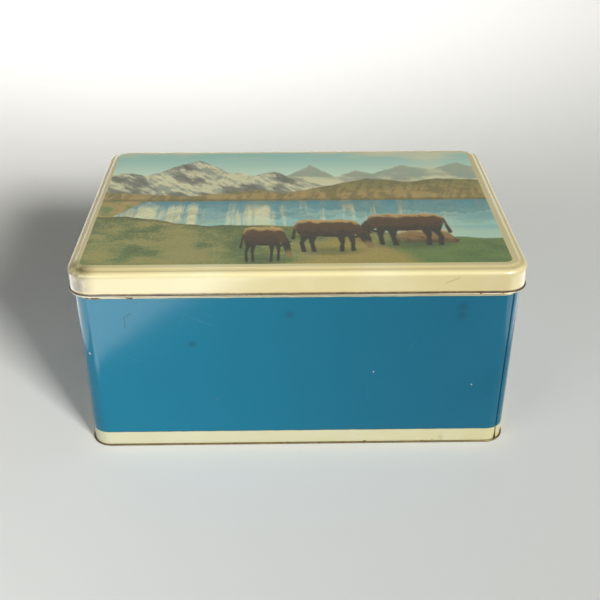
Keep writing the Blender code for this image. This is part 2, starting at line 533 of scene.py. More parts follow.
def split(point):
    node = point.tree.nodes.new("ShaderNodeSeparateXYZ")
    feed(point.tree, node.inputs[0], point)
    return [Term(point.tree, socket) for socket in node.outputs]


def stretch(point, *factors):
    return vector_math("MULTIPLY", point, factors)


def turned(point, angle):
    """The point turned about Z."""
    x, y, z = split(point)
    c, s = cos(radians(angle)), sin(radians(angle))
    return join(x * c - y * s, x * s + y * c, z)


def fractal(point, scale, detail=3.0, roughness=0.5, distortion=0.0, shift=None):
    """Noise around 0.5. A shift moves it to another part of the noise."""
    if shift:
        point = vector_math("ADD", point, (shift, -shift, 0.37 * shift))
    node = point.tree.nodes.new("ShaderNodeTexNoise")
    feed(point.tree, node.inputs["Vector"], point)
    node.inputs["Scale"].default_value = scale
    node.inputs["Detail"].default_value = detail
    node.inputs["Roughness"].default_value = roughness
    node.inputs["Distortion"].default_value = distortion
    return Term(point.tree, node.outputs["Fac"])


def specks(point, scale, size):
    """1 on small round spots in cells of 1/scale metres."""
    node = point.tree.nodes.new("ShaderNodeTexVoronoi")
    feed(point.tree, node.inputs["Vector"], point)
    node.inputs["Scale"].default_value = scale
    return Term(point.tree, node.outputs["Distance"]).step(size, size * 0.7)


def mix(factor, first, second):
    """first where the factor is 0 and second where it is 1."""
    tree = factor.tree
    node = tree.nodes.new("ShaderNodeMix")
    node.data_type = "RGBA"
    feed(tree, node.inputs["Factor"], factor)
    colours = [socket for socket in node.inputs if socket.type == "RGBA"]
    feed(tree, colours[0], first)
    feed(tree, colours[1], second)
    return Term(tree, next(socket for socket in node.outputs if socket.type == "RGBA"))


def new_material(name):
    """A material, and a point on the piece that wears it, in metres."""
    material = bpy.data.materials.new(name)
    material.use_nodes = True
    tree = material.node_tree
    return material, Term(tree, tree.nodes.new("ShaderNodeTexCoord").outputs["Object"])


def stored_wear(tree):
    """The wear that bent_sheet stores."""
    node = tree.nodes.new("ShaderNodeAttribute")
    node.attribute_name = "wear"
    return Term(tree, node.outputs["Fac"])


def finish_surface(material, colour, roughness, height, depth, constants=(), metallic=None):
    """Joins a surface's values to the shader. A height of 1 stands up by the depth."""
    tree = material.node_tree
    shader = tree.nodes["Principled BSDF"]
    feed(tree, shader.inputs["Base Color"], colour)
    feed(tree, shader.inputs["Roughness"], roughness)
    if metallic is not None:
        feed(tree, shader.inputs["Metallic"], metallic)
    for name, value in constants:
        shader.inputs[name].default_value = value
    bump = tree.nodes.new("ShaderNodeBump")
    bump.inputs["Strength"].default_value = 1.0
    bump.inputs["Distance"].default_value = depth
    feed(tree, bump.inputs["Height"], height)
    tree.links.new(bump.outputs[0], shader.inputs["Normal"])
    return material


def scratches(point, angle, seed, rarity=0.74):
    """Thin straight marks along one direction, in the XY plane of the point."""
    lines = fractal(stretch(turned(point, angle), 18, 900, 18), 1, detail=1, shift=seed)
    patches = fractal(point, 22, detail=1, shift=seed + 3)
    return lines.step(rarity, rarity + 0.05) * patches.step(0.52, 0.62)


# ---------------- surfaces of the tin

BLUE = (0.0, 0.085, 0.150)
BLUE_PALE = (0.002, 0.099, 0.171)
# Painted light: the blue and the cream are lighter towards the left, where the light is stronger
BLUE_LIT_LEFT = (0.002, 0.136, 0.226)
CREAM = (0.77, 0.69, 0.37)
CREAM_PALE = (0.81, 0.745, 0.46)
CREAM_LIT_LEFT = (0.82, 0.80, 0.56)
SKIRT_SHADED = (0.70, 0.685, 0.64)  # painted shade: the upright sides are darker than the top, which takes more light
# painted shade on the upright bands of the body
BANDS_SHADED = (0.63, 0.65, 0.69)
CREAM_DEEP = (0.56, 0.45, 0.20)
CORNER_DARK = (0.10, 0.085, 0.045)
RUST = (0.11, 0.045, 0.018)
HEM_BROWN = (0.13, 0.10, 0.042)
HEM_DARK = (0.05, 0.04, 0.022)
CHIP_DARK = (0.045, 0.035, 0.03)
CHIP_BROWN = (0.13, 0.085, 0.055)
LAP_DARK = (0.03, 0.10, 0.10)  # where blue and cream overlap
SMUDGE_BLUE = (0.004, 0.045, 0.065)
SCRATCH_PALE = (0.16, 0.25, 0.28)
SCRATCH_DARK = (0.01, 0.05, 0.08)
SCRATCH_BROWN = (0.30, 0.25, 0.16)
SCRATCH_GREY = (0.24, 0.22, 0.15)
NICK_PALE = (0.55, 0.58, 0.55)
SEAM_GAP_SHADE = (0.008, 0.016, 0.02)
TIN_BARE, TIN_STAINED = (0.62, 0.57, 0.45), (0.50, 0.42, 0.27)
LACQUER, LACQUER_STAINED = (0.30, 0.24, 0.11), (0.20, 0.16, 0.08)
RUST_PALE = (0.20, 0.09, 0.035)

BAND_WANDER = 0.5 * MM  # how far the edge between blue and cream wanders
SKIN_DEPTH = 0.03 * MM  # height of the small unevenness in enamel and tin

# Marks on the front, in metres across and up. Smudges and nicks: across, up, radius
SMUDGES = (
    (-0.0055, 0.1072, 0.0045),
    (-0.0700, 0.0850, 0.0040),
    (0.1067, 0.1125, 0.0055),
    (0.1067, 0.1060, 0.0050),
)
NICKS = ((-0.1385, 0.0775, 0.0012), (0.0507, 0.0610, 0.0008), (0.1180, 0.0500, 0.0008))
BENT_SCRATCH = ((-0.1130, 0.0985), (-0.1128, 0.1065), (-0.1085, 0.1095))
SKIRT_SCRATCH = ((0.0935, 0.1320), (0.1020, 0.1355))
BAND_CHIPS = ((-0.1315, 0.0050), (-0.1445, 0.0025), (-0.1080, 0.0025))  # across and half length


def wall_plane(point):
    """Lays the sides of the tin out flat, so that marks run along them."""
    x, y, z = split(point)
    return join(x + y, z, x - y)


def stroke(across, up, ends, thickness):
    """1 on a straight mark between two ends, in metres."""
    start, end = ends
    return limb_distance(across, up, start, end, 0, 0).step(thickness, thickness * 0.4)


def any_of(masks):
    """The highest of several masks at each point."""
    return reduce(Term.most, masks)


def spot(across, up, place, height, radius):
    distance = vector_math("LENGTH", join(across - place, up - height))
    return distance.step(radius, 0.0)


def spots(across, up, places):
    """1 on round spots at chosen places on the front."""
    return any_of(spot(across, up, *place) for place in places)


def bare_patches(across):
    """1 where paint has flaked from the band under the lid."""
    return any_of(
        (across - place).size().step(half_length * 1.3, half_length * 0.7)
        for place, half_length in BAND_CHIPS
    )


def banded_enamel(point, x, z, cloud):
    """Blue with a cream band at the rim and at the foot, both painted lighter towards the left as
    painted light.
    """
    edge_height = z + fractal(point, 140, detail=2) * BAND_WANDER
    top_band = edge_height.step(TOP_BAND - 0.05 * MM, TOP_BAND + 0.35 * MM)
    foot_band = edge_height.step(FOOT_BAND + 0.45 * MM, FOOT_BAND + 0.15 * MM)
    # painted light: lighter towards the left
    lighter_left = (x + (cloud - 0.5) * 0.16).step(0.16, -0.15)
    blue = mix(cloud.step(0.3, 0.75), BLUE, BLUE_PALE)
    blue = mix(lighter_left, blue, BLUE_LIT_LEFT)
    foot_edge = (edge_height - FOOT_BAND - BAND_WANDER).size()
    lap = (edge_height - TOP_BAND).size().least(foot_edge).step(0.55 * MM, 0.2 * MM)
    cream = mix(fractal(point, 30, detail=3).step(0.35, 0.7), CREAM, CREAM_PALE)
    # painted light and shade: lighter towards the left, darker all over as upright faces
    cream = stretch(mix(lighter_left * 0.6, cream, CREAM_LIT_LEFT), *BANDS_SHADED)
    painted = mix(top_band.most(foot_band), blue, cream)
    return mix(lap * 0.6, painted, LAP_DARK)


def with_body_marks(painted, point, x, z, on_front, marks):
    """Adds smudges, fine scratches and the bent scratch on the front."""
    stains = fractal(point, 48, detail=1, shift=4).step(0.74, 0.84)
    dark_patch = stains.most(spots(x, z, SMUDGES) * on_front)
    painted = mix(dark_patch * 0.5, painted, SMUDGE_BLUE)
    painted = mix(marks * 0.15, painted, SCRATCH_PALE)
    upright = stroke(x, z, BENT_SCRATCH[:2], 0.5 * MM)
    slanted = stroke(x, z, BENT_SCRATCH[1:], 0.6 * MM)
    return mix(upright.most(slanted) * on_front * 0.7, painted, SCRATCH_DARK)


def body_chips(point, x, z, seam, on_front):
    """1 where the enamel has chipped, mostly at the foot, the seams, the upper band and the rim."""
    near_foot = z.step(3 * MM, 1.2 * MM) * 0.55
    near_band = (z - TOP_BAND - 0.7 * MM).size().step(1.9 * MM, 0.7 * MM) * bare_patches(x) * on_front
    near_rim = z.step(RIM_HEIGHT - 3 * MM, RIM_HEIGHT - 1 * MM)
    near_seam = seam.step(2.2 * MM, 0.6 * MM) * 0.25
    exposed = near_foot.most(near_seam).most(near_band * 1.5).most(near_rim)
    crumbs = fractal(point, 260, detail=3, roughness=0.65, shift=1)
    return (crumbs + exposed * 0.22).step(0.745, 0.78)


def with_body_chips(painted, point, x, z, on_front, chips):
    """Adds pale nicks and rusty chips."""
    nicks = specks(point, 46, 0.055) * fractal(point, 9, detail=0, shift=6).step(0.55, 0.6)
    nicks = nicks.most(spots(x, z, NICKS) * on_front)
    painted = mix(nicks, painted, NICK_PALE)
    rusty = mix(fractal(point, 400, detail=2).step(0.4, 0.6), CHIP_DARK, CHIP_BROWN)
    return mix(chips, painted, rusty)


def body_paint():
    material, point = new_material("body_paint")
    x, y, z = split(point)
    on_front = (y + HALF_DEPTH - 8 * MM).step(0, -4 * MM)
    cloud = fractal(point, 14, detail=4, roughness=0.6)
    painted = banded_enamel(point, x, z, cloud)
    sheet = wall_plane(point)
    marks = any_of(scratches(sheet, angle, seed) for angle, seed in ((25, 2), (-64, 9), (84, 5)))
    painted = with_body_marks(painted, point, x, z, on_front, marks)
    seam = seam_distance(x, y)
    chips = body_chips(point, x, z, seam, on_front)
    painted = with_body_chips(painted, point, x, z, on_front, chips)
    # painted shade along the gap of the upright seam
    painted = mix(seam.step(1.0 * MM, 0.4 * MM) * 0.92, painted, SEAM_GAP_SHADE)

    roughness = 0.11 + 0.09 * cloud + 0.3 * chips + 0.1 * marks
    skin = fractal(point, 700, detail=1) * 0.08 + fractal(point, 60, detail=1)
    gloss = [("Specular IOR Level", 0.34)]
    return finish_surface(material, painted, roughness, skin - chips - marks * 0.3, SKIN_DEPTH, gloss)


def seam_distance(x, y):
    """Plan distance to the line of the nearer upright seam."""
    seam_x = STRAIGHT_X + CORNER_RADIUS * cos(radians(SEAM_ANGLE))
    seam_y = CORNER_RADIUS * sin(radians(SEAM_ANGLE)) - STRAIGHT_Y
    front = vector_math("LENGTH", join(x - seam_x, y - seam_y))
    return front.least(vector_math("LENGTH", join(x + seam_x, y + seam_y)))


def lid_cream(x, z, cloud):
    """Cream that is deeper towards the lid's ends, painted lighter towards the left of the skirt as
    painted light, and darker on the whole skirt as painted shade.
    """
    cream = mix(cloud.step(0.35, 0.7), CREAM, CREAM_PALE)
    # painted light: the skirt lighter towards the left
    lighter_left = (x + (cloud - 0.5) * 0.16).step(0.05, -0.15) * z.step(LID_TOP - 1 * MM, LID_TOP - 5 * MM)
    cream = mix(lighter_left * 0.25, cream, CREAM_LIT_LEFT)
    cream = mix(x.size().step(0.05, 0.14) * 0.35, cream, CREAM_DEEP)
    # painted shade: the skirt darker than the top
    return mix(z.step(LID_TOP - 2 * MM, LID_TOP - 5 * MM), cream, stretch(cream, *SKIRT_SHADED))


def with_crease_shade_and_corner_patch(cream, x, y, wear, crease, patchiness):
    """Adds painted shade in the crease, made patchy by noise, and a darker patch round the front left
    corner.
    """
    # painted shade in the crease
    cream = mix(crease * (0.30 + patchiness * 0.4), cream, CREAM_DEEP)
    # darker round the front left corner of the skirt
    from_corner = vector_math("LENGTH", join(x + HALF_WIDTH - 3 * MM, y + HALF_DEPTH - 2 * MM))
    dark_patch = from_corner.step(17 * MM, 2 * MM) * (0.95 + wear * 0.3) * patchiness.step(0.2, 0.5)
    return mix(dark_patch * 0.9, cream, CORNER_DARK)


def with_lid_marks(cream, x, y, z, marks, patchiness):
    """Adds fine scratches and the one on the front of the skirt."""
    cream = mix(marks * 0.4, cream, SCRATCH_BROWN)
    on_front = (y + HALF_DEPTH).step(0, -2 * MM)
    scratch = stroke(x, z, SKIRT_SCRATCH, 0.7 * MM) * patchiness.step(0.3, 0.5) * on_front
    return mix(scratch * 0.4, cream, SCRATCH_GREY)


def worn_hem(point, x, y, crumbs):
    """Brown, worn colours of the hem, with more rust at the corners."""
    near_side = (x.size() - (HALF_WIDTH - 16 * MM)).step(0, 8 * MM)
    near_corner = near_side * (y.size() - (HALF_DEPTH - 16 * MM)).step(0, 8 * MM)
    worn = mix((crumbs + near_corner * 0.12).step(0.5, 0.62), HEM_BROWN, RUST)
    return mix(fractal(point, 90, detail=2, shift=8).step(0.45, 0.7), worn, HEM_DARK)


def lid_paint():
    material, point = new_material("lid_paint")
    x, y, z = split(point)
    wear = stored_wear(point.tree)
    cloud = fractal(point, 20, detail=4, roughness=0.6)
    cream = lid_cream(x, z, cloud)
    # the crease, where shade is painted
    crease = wear.step(0.0, 0.55) * (z - (LID_FOOT + 5 * MM)).step(0, 1 * MM)
    crease = crease * x.step(HALF_WIDTH - 1 * MM, HALF_WIDTH - 9 * MM)
    patchiness = fractal(point, 45, detail=4, roughness=0.7, shift=2)
    cream = with_crease_shade_and_corner_patch(cream, x, y, wear, crease, patchiness)
    marks = scratches(wall_plane(point), 30, 12, 0.76).most(scratches(point, 70, 3, 0.76))
    cream = with_lid_marks(cream, x, y, z, marks, patchiness)

    foot = z - LID_FOOT + (fractal(point, 120, detail=3) - 0.5) * (0.7 * MM)
    crumbs = fractal(point, 300, detail=3, roughness=0.65, shift=5)
    worn = worn_hem(point, x, y, crumbs)
    colour = mix(foot.step(4.4 * MM, 2.2 * MM) * 0.7, cream, CREAM_DEEP)
    hem = foot.step(2.7 * MM, 2.0 * MM)
    colour = mix(hem, colour, worn)
    chips = (crumbs + foot.step(4.2 * MM, 2.2 * MM) * 0.1).step(0.77, 0.80)
    colour = mix(chips, colour, CHIP_BROWN)

    roughness = 0.24 + 0.14 * cloud + 0.22 * hem + 0.1 * crease + 0.1 * marks
    skin = fractal(point, 700, detail=1) * 0.08 + fractal(point, 50, detail=1) * 0.9
    skin = skin - hem * crumbs * 1.5 - chips - marks * 0.3
    coat = [("Coat Weight", 1.0), ("Coat Roughness", 0.12)]
    return finish_surface(material, colour, roughness, skin, SKIN_DEPTH, coat)


def tinplate(name, colour, tint, rust_level):
    """Bare or lacquered tinplate with rolling grain, stains and rust specks."""
    material, point = new_material(name)
    grain = fractal(stretch(point, 60, 60, 1400), 1, detail=3, roughness=0.6)
    stain = fractal(point, 26, detail=5, roughness=0.65, distortion=0.6)
    metal = mix(stain.step(0.35, 0.7), colour, tint)
    wear = stored_wear(point.tree)
    crumbs = fractal(point, 210, detail=4, roughness=0.7, shift=3)
    rust = (crumbs + wear * 0.1).step(rust_level, rust_level + 0.05)
    rusted = mix(crumbs.step(0.4, 0.8), RUST, RUST_PALE)
    surface = mix(rust, metal, rusted)
    roughness = 0.24 + 0.2 * stain + 0.1 * grain + 0.35 * rust
    height = grain * 0.4 + stain * 1.2 + rust * 0.8
    metallic = 0.92 - 0.85 * rust
    return finish_surface(material, surface, roughness, height, SKIN_DEPTH, metallic=metallic)


# ---------------- the picture on the lid
# Picture coordinates: across from 0 to 1.53 and up from 0 to 1, in picture heights.

SHORE = 0.515
INK = (1.06, 1.06, 1.10)  # strength of the print, in red, green and blue
SKY_BLUE = (0.32, 0.63, 0.54)
SKY_PALE = (0.68, 0.88, 0.66)
CLOUD = (0.72, 0.73, 0.46)
SNOW = (0.80, 0.78, 0.47)
SNOW_SHADE = (0.36, 0.40, 0.30)
ROCK = (0.22, 0.23, 0.175)
ROCK_DARK = (0.13, 0.145, 0.115)
HAZE_PEAK = (0.30, 0.42, 0.32)
HAZE = (0.42, 0.50, 0.34)
HILL_TOP = (0.22, 0.22, 0.07)
HILL_OCHRE = (0.48, 0.34, 0.12)
HILL_DARK = (0.12, 0.125, 0.04)
LAKE_DEEP = (0.05, 0.34, 0.43)
LAKE = (0.40, 0.69, 0.54)
STREAK = (0.95, 0.92, 0.50)
MEADOW = (0.18, 0.265, 0.08)
MEADOW_DRY = (0.37, 0.34, 0.12)
MEADOW_DARK = (0.08, 0.12, 0.052)
MEADOW_GREEN = (0.10, 0.23, 0.06)
PATH = (0.44, 0.34, 0.09)
COW = (0.024, 0.025, 0.022)
COW_BROWN = (0.095, 0.050, 0.025)
COW_BACK = (0.60, 0.41, 0.15)
COW_TAN = (0.30, 0.19, 0.07)
COW_CREAM = (0.60, 0.50, 0.26)
VARNISH = (0.45, 0.42, 0.30)  # faint yellowed patches
PRINT_SCRATCH = (0.5, 0.47, 0.38)

# Peaks: across, top, fall to the left and fall to the right
NEAR_PEAKS = (
    (0.35, 0.925, 0.75, 0.95),
    (0.52, 0.80, 0.5, 0.6),
    (0.68, 0.80, 0.6, 0.75),
    (0.08, 0.79, 0.2, 0.5),
)
FAR_PEAKS = (
    (0.83, 0.86, 1.0, 1.1),
    (1.02, 0.80, 0.6, 0.5),
    (1.22, 0.86, 0.7, 0.35),
    (1.46, 0.88, 0.5, 0.8),
)
HILLS = (
    (1.06, 0.725, 0.42, 0.22),
    (1.36, 0.72, 0.3, 0.1),
    (0.62, 0.615, 0.2, 0.3),
    (0.0, 0.60, 0.1, 0.12),
)

# A cow from the side with its head down, in cow heights: limbs from, to, and radius at either end
COW_LIMBS = (
    ((-0.30, 0.655), (0.20, 0.635), 0.235, 0.240),  # barrel
    ((-0.42, 0.75), (-0.28, 0.77), 0.130, 0.135),  # rump
    ((0.20, 0.83), (0.30, 0.75), 0.080, 0.125),  # withers
    ((0.26, 0.58), (0.33, 0.64), 0.175, 0.145),  # chest
    ((0.36, 0.74), (0.56, 0.46), 0.140, 0.095),  # neck
    ((0.58, 0.38), (0.64, 0.15), 0.090, 0.055),  # head
    ((0.52, 0.45), (0.43, 0.40), 0.016, 0.032),  # ear
    ((0.60, 0.47), (0.70, 0.51), 0.020, 0.008),  # horn
    ((-0.40, 0.62), (-0.40, 0.42), 0.135, 0.070),  # thigh
    ((-0.40, 0.42), (-0.45, 0.24), 0.052, 0.034),  # hock
    ((-0.45, 0.24), (-0.42, 0.02), 0.030, 0.036),  # shank
    ((-0.27, 0.50), (-0.29, 0.26), 0.090, 0.036),  # other legs
    ((-0.29, 0.26), (-0.26, 0.03), 0.031, 0.036),
    ((0.19, 0.50), (0.20, 0.26), 0.085, 0.037),
    ((0.20, 0.26), (0.18, 0.02), 0.031, 0.037),
    ((0.34, 0.50), (0.37, 0.28), 0.075, 0.037),
    ((0.37, 0.28), (0.36, 0.05), 0.031, 0.035),
    ((-0.545, 0.76), (-0.59, 0.36), 0.014, 0.030),  # tail
)

LIMB_BLEND = 0.03

# Cattle: across, up, height, which way it faces (a larger number is seen more from its end),
# how much of its legs is folded under it, and its coat
CATTLE = (
    (0.645, 0.015, 0.300, 2.10, 0.0, "dark"),
    (0.885, 0.085, 0.290, 1.27, 0.0, "dark"),
    (1.175, 0.130, 0.290, -1.06, 0.0, "dark"),
    (1.240, 0.150, 0.230, 1.30, 0.42, "pale"),
)
COATS = {"dark": (COW, COW_BROWN, COW_BACK), "pale": (COW_BROWN, COW_TAN, COW_CREAM)}


def slopes(across, place, top, fall_left, fall_right):
    """Height of a peak with straight slopes."""
    away = across - place
    return top - (away * -fall_left).most(away * fall_right)


def ridge_line(across, peaks):
    return any_of(slopes(across, *peak) for peak in peaks)


def relief(point, scale, slant, seed):
    """Light and shade of a rugged slope: a fractal surface lit from one side."""
    ribs = stretch(turned(point, slant), 1.0, 0.45, 1.0)
    rugged = {"detail": 6, "roughness": 0.62, "shift": seed}
    lit = fractal(ribs, scale, **rugged)
    behind = fractal(vector_math("ADD", ribs, (0.012, 0.012, 0)), scale, **rugged)
    return (lit - behind) * 6 + 0.5


def sky_view(point, across, up):
    sky = mix(up.step(0.72, 0.98), SKY_PALE, SKY_BLUE)
    wisps = fractal(stretch(point, 1.3, 6, 1), 2.2, detail=5, roughness=0.6, shift=2)
    bank = wisps + across.step(0.5, 1.5) * 0.14 + up.step(0.84, 1.0) * 0.2
    return mix(bank.step(0.66, 0.98), sky, CLOUD)


def far_range(point, up):
    """Hazy peaks with a snowfield between them."""
    colour = mix(relief(point, 11, 35, 5).step(0.2, 0.85), HAZE_PEAK, SNOW_SHADE)
    snowfield = fractal(stretch(point, 1, 1.8, 1), 7, detail=4, shift=4) - (up - 0.74) * 1.6
    colour = mix(snowfield.step(0.40, 0.60), colour, SNOW)
    return mix(up.step(0.60, 0.9) * 0.5, colour, HAZE)


def near_range(point, up):
    """Snow with ribs of bare rock, more of it low down and on the tops."""
    shape = relief(point, 8, -38, 1)
    snow = mix(shape.step(0.15, 0.75), SNOW_SHADE, SNOW)
    rock = mix(shape.step(0.2, 0.85), ROCK_DARK, ROCK)
    ribs = fractal(stretch(turned(point, -40), 1.0, 0.4, 1.0), 7.5, detail=6, roughness=0.6, shift=9)
    bare = ribs + (0.62 - up).most(0.0) * 0.9 + (up - 0.8).most(0.0) * 0.6
    colour = mix(bare.step(0.47, 0.57), snow, rock)
    return mix(up.step(0.95, 0.6) * 0.12, colour, HAZE)


def hill_range(point, up):
    """Ochre hills, dark at the water's edge."""
    tone = fractal(stretch(point, 1, 2.2, 1), 6, detail=5, roughness=0.62, shift=7)
    colour = mix((up + (tone - 0.5) * 0.16).step(0.53, 0.72), HILL_OCHRE, HILL_TOP)
    colour = mix(relief(point, 9, 20, 6).step(0.8, 0.2) * 0.6, colour, HILL_DARK)
    return mix(up.step(SHORE + 0.035, SHORE) * 0.7, colour, HILL_DARK)


def mountain_view(point):
    """Colour of sky, snow peaks and hills above the lake, at a picture point."""
    across, up, _ = split(point)
    jag = fractal(point, 9, detail=6, roughness=0.6) - 0.5
    view = sky_view(point, across, up)
    far = ridge_line(across, FAR_PEAKS) + jag * 0.07
    far_colour = far_range(point, up)
    view = mix((far - up).step(-0.012, 0.008), view, far_colour)
    near = ridge_line(across, NEAR_PEAKS) + jag * 0.08
    near_colour = near_range(point, up)
    view = mix((near - up).step(-0.008, 0.006), view, near_colour)
    hills = ridge_line(across, HILLS) + jag * 0.035
    hill_colour = hill_range(point, up)
    return mix((hills - up).step(-0.006, 0.006), view, hill_colour)


def as_group(name, inputs, output, build):
    """A node group with plain numbers in and out, from a function of Terms."""
    group = bpy.data.node_groups.new(name, "ShaderNodeTree")
    for label in inputs:
        group.interface.new_socket(label, in_out="INPUT", socket_type="NodeSocketFloat")
    group.interface.new_socket(output, in_out="OUTPUT", socket_type="NodeSocketFloat")
    entry, leave = group.nodes.new("NodeGroupInput"), group.nodes.new("NodeGroupOutput")
    result = build(*[Term(group, entry.outputs[label]) for label in inputs])
    feed(group, leave.inputs[output], result)
    return group


def use_group(group, *values):
    tree = values[0].tree
    node = tree.nodes.new("ShaderNodeGroup")
    node.node_tree = group
    for place, value in enumerate(values):
        feed(tree, node.inputs[place], value)
    return Term(tree, node.outputs[0])


def limb_distance(across, up, start, end, start_radius, end_radius):
    """Distance from a picture point to a tapered limb."""
    along_x, along_y = end[0] - start[0], end[1] - start[1]
    length = hypot(along_x, along_y)
    x, y = across - start[0], up - start[1]
    share = (x * (along_x / length**2) + y * (along_y / length**2)).most(0.0).least(1.0)
    off_x, off_y = x - share * along_x, y - share * along_y
    reach = (off_x * off_x + off_y * off_y).math("SQRT")
    return reach - (share * (end_radius - start_radius) + start_radius)


def cow_shape(across, up):
    """Distance to the cow's outline."""
    distances = (limb_distance(across, up, *limb) for limb in COW_LIMBS)
    return reduce(lambda outline, limb: outline.math("SMOOTH_MIN", limb, LIMB_BLEND), distances)


def cow_hide(own_x, own_y, rough, distance, dark, middle, light):
    """Dark legs and belly, a lit back and a pale muzzle."""
    hide = mix((own_y + rough * 0.5).step(0.65, 0.95), dark, middle)
    lit = (own_y + rough * 0.3 + distance * 0.8).step(0.83, 1.0)
    muzzle = (own_x - 0.53).step(0, 0.05) * own_y.step(0.34, 0.20) * 0.45
    return mix(lit.most(muzzle), hide, light)


def with_cattle(picture, point, across, up):
    """Adds the cattle, the farthest first, each with a soft shadow on the grass."""
    cow = as_group("cow", ("Across", "Up"), "Distance", cow_shape)
    for place, ground, height, facing, folded, coat in reversed(CATTLE):
        own_x = (across - place) * (facing / height)
        own_y = (up - ground) * (1 / height) + folded
        rough = fractal(point, 34, detail=3, shift=place * 9)
        distance = use_group(cow, own_x, own_y)
        shade = vector_math("LENGTH", join(own_x * 1.1, (own_y - folded - 0.02) * 5)).step(0.75, 0.25)
        picture = mix(shade * 0.6 * (own_y - folded).step(0.3, 0.05), picture, MEADOW_DARK)
        hide = cow_hide(own_x, own_y, rough, distance, *COATS[coat])
        inside = (distance + (rough - 0.5) * 0.03).step(0.02, -0.015)
        picture = mix(inside * (own_y - folded).step(-0.01, 0.01), picture, hide)
    return picture


def mirrored_in_lake(across, up):
    """Where a picture point looks: at itself above the shore, at its streaky mirror image below."""
    streak = fractal(join(across * 17, up * 1.4), 1, detail=4, roughness=0.65, shift=3) - 0.5
    below = (SHORE - up).math("GREATER_THAN", 0)
    mirrored = SHORE + (SHORE - up + streak * 0.16).most(0.0) * 1.75
    return join(across + below * streak * 0.03, up + below * (mirrored - up)), streak


def lake_view(across, up, reflected, streak):
    """Deep water under the mirror image, with the upright streaks that draw it out."""
    depth = SHORE - up
    water = mix(depth.step(0.0, 0.3), LAKE_DEEP, LAKE)
    bands = fractal(join(across * 2.2, up * 20), 1, detail=3, shift=8)
    water = mix(bands.step(0.45, 0.65) * 0.35, water, LAKE_DEEP)
    shine = (streak + 0.57 - across.step(0.5, 1.0) * 0.15).step(0.45, 0.62)
    water = mix(shine * depth.step(0.01, 0.08) * 0.85, water, STREAK)
    return mix(0.30 + streak * 0.7, water, reflected)


def meadow_view(point, across, up):
    patches = fractal(stretch(point, 1, 1.8, 1), 4.5, detail=6, roughness=0.6, shift=6)
    blades = fractal(stretch(point, 1.6, 1, 1), 70, detail=3, roughness=0.7, shift=1)
    grass = mix(patches.step(0.4, 0.62), MEADOW, MEADOW_DRY)
    grass = mix(across.step(1.0, 1.25) * 0.75, grass, MEADOW_GREEN)
    grass = mix((patches + blades * 0.4 - up * 0.3).step(0.72, 0.5) * 0.7, grass, MEADOW_DARK)
    bend = fractal(stretch(point, 0.0, 1, 0), 5, detail=2, shift=2) - 0.5
    middle = across - 0.98 + up * 0.15 + bend * 0.16
    width = 0.20 - up * 0.75
    path = (middle.size() - width + (patches - 0.5) * 0.25).step(0.06, -0.02) * up.step(0.24, 0.16)
    grass = mix(path * (0.7 + blades * 0.2), grass, PATH)
    return mix(blades.step(0.62, 0.4) * 0.16, grass, MEADOW_DARK)


def land_and_water(point, across, up, lake, wander):
    """The lake, and the bank that runs into it from the left."""
    left_bank = across - 0.07 - (up - 0.385) * 0.75 + wander * 0.05
    lake_mask = (up + wander * 0.012).step(SHORE + 0.003, SHORE - 0.002) * left_bank.step(-0.01, 0.01)
    land = mix(fractal(point, 16, detail=5, shift=9).step(0.4, 0.6), HILL_OCHRE, MEADOW)
    return mix(lake_mask, land, lake)


def with_meadow(picture, point, across, up, wander):
    """Adds the meadow in front of the lake, with a dark edge at the left."""
    shore = 0.375 - across.step(0.1, 0.45) * 0.075 - across.step(0.6, 1.5) * 0.115 + wander * 0.03
    dark_edge = (shore - up).step(0.03, 0.0) * across.step(0.5, 0.1)
    meadow = mix(dark_edge, meadow_view(point, across, up), HILL_DARK)
    return mix((shore - up).step(-0.003, 0.004), picture, meadow)


def picture_view(point):
    across, up, _ = split(point)
    looked_at, streak = mirrored_in_lake(across, up)
    mountains = mountain_view(looked_at)
    lake = lake_view(across, up, mountains, streak)
    wander = fractal(point, 12, detail=4, shift=5) - 0.5
    below = land_and_water(point, across, up, lake, wander)
    picture = mix(up.step(SHORE + 0.004, SHORE - 0.004), mountains, below)
    picture = with_meadow(picture, point, across, up, wander)
    return with_cattle(picture, point, across, up)


def picture_print():
    material, place = new_material("picture_print")
    x, y, _ = split(place)
    half_x, half_y = HALF_WIDTH - PRINT_LEVEL, HALF_DEPTH - PRINT_LEVEL
    left, front = PRINT_SHIFT.x - half_x, PRINT_SHIFT.y - half_y
    point = join((x - left) * (0.5 / half_y), (y - front) * (0.5 / half_y))
    colour = picture_view(point)
    faded = fractal(place, 12, detail=3, roughness=0.6)
    colour = mix(faded.step(0.4, 0.8) * 0.1, colour, VARNISH)
    directions = ((18, 4, 0.77), (-50, 11, 0.77), (97, 7, 0.78))  # angle, seed, rarity
    marks = any_of(scratches(place, *mark) for mark in directions)
    colour = mix(marks * 0.35, colour, PRINT_SCRATCH)
    colour = stretch(colour, *INK)
    roughness = 0.3 + 0.12 * faded + 0.15 * marks
    grain = fractal(place, 2400, detail=1)
    coat = [("Coat Weight", 0.8), ("Coat Roughness", 0.15)]
    return finish_surface(material, colour, roughness, grain * 0.1 - marks * 0.3, 0.02 * MM, coat)


# ---------------- stage, light and camera

FLOOR_FLAT = 0.36  # radius of the paper's flat middle
FLOOR_SWEEP = 1.3  # radius of the curve that rises round it
FLOOR_STEEPEST = 48  # degrees, at the outer edge
FLOOR_SIDES = 96
# Painted light: the paper is lighter to the left and at the back, darker to the right and at the front
PAPER_LIT_LEFT, PAPER_SHADED_RIGHT = (0.82, 0.82, 0.796), (0.76, 0.782, 0.77)
PAPER_SHADED_FRONT, PAPER_LIT_BACK = (0.69, 0.70, 0.69), (0.93, 0.93, 0.91)

WORLD_COLOUR, WORLD_STRENGTH = (1.0, 0.975, 0.93, 1), 0.05

